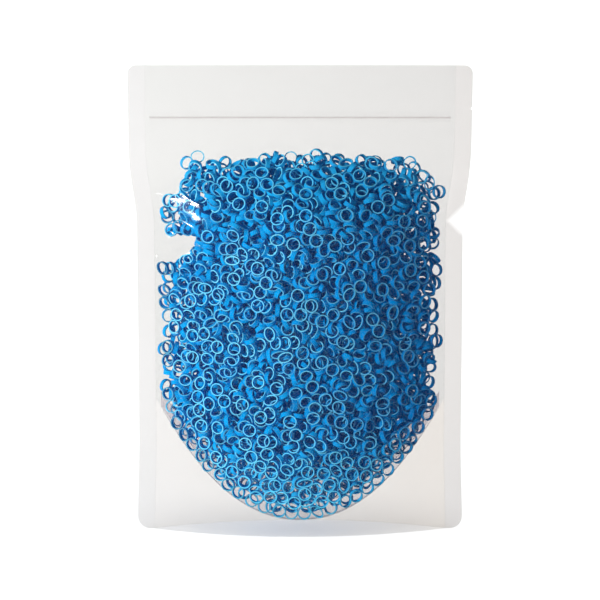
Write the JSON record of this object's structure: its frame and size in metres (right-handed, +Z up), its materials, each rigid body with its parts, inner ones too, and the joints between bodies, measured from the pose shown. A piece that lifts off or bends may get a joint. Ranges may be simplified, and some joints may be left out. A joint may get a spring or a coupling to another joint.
{
  "type": "leg band pack",
  "caption": "Clear stand-up zip pouch with a folded base gusset and welded sides, filled with small elastic ring bands for poultry legs.",
  "frame": {"origin": "on the floor, at the centre of the pouch's base", "axes": "+Z up, -Y towards the pouch's front, +X to the right seen from the front"},
  "size_m": [0.16, 0.0406, 0.22],
  "materials": {
    "film": "clear glossy film, slightly creased",
    "weld": "clear welded film, faintly milky",
    "zip": "translucent extruded profile",
    "band": "smooth satin elastic, paler on the cut rims"
  },
  "bodies": {
    "pouch": {"front_wall": "film", "back_wall": "film", "bottom_gusset": "film", "front_base_seal": "weld", "back_base_seal": "weld", "left_side_seal": "weld", "right_side_seal": "weld", "front_bands_1": "band", "front_bands_2": "band", "front_bands_3": "band", "front_bands_4": "band", "front_bands_5": "band", "front_bands_6": "band", "front_bands_7": "band", "front_bands_8": "band", "front_bands_9": "band", "back_bands_1": "band", "back_bands_2": "band", "back_bands_3": "band", "back_bands_4": "band", "back_bands_5": "band", "back_bands_6": "band", "back_bands_7": "band", "back_bands_8": "band", "back_bands_9": "band"},
    "front_mouth": {"front_mouth_film": "film", "zip_rib": "zip"},
    "back_mouth": {"back_mouth_film": "film", "zip_groove": "zip"}
  },
  "joints": [
    {"name": "front_mouth_flex", "type": "hinge", "parent": "pouch", "child": "front_mouth", "pos_m": [0, -0.0041, 0.18], "axis": [1, 0, 0], "range_deg": [0, 20]},
    {"name": "back_mouth_flex", "type": "hinge", "parent": "pouch", "child": "back_mouth", "pos_m": [0, 0.0041, 0.18], "axis": [-1, 0, 0], "range_deg": [0, 20]}
  ],
  "couplings": [
    {"joint": "back_mouth_flex", "follows": "front_mouth_flex", "ratio": 1}
  ]
}
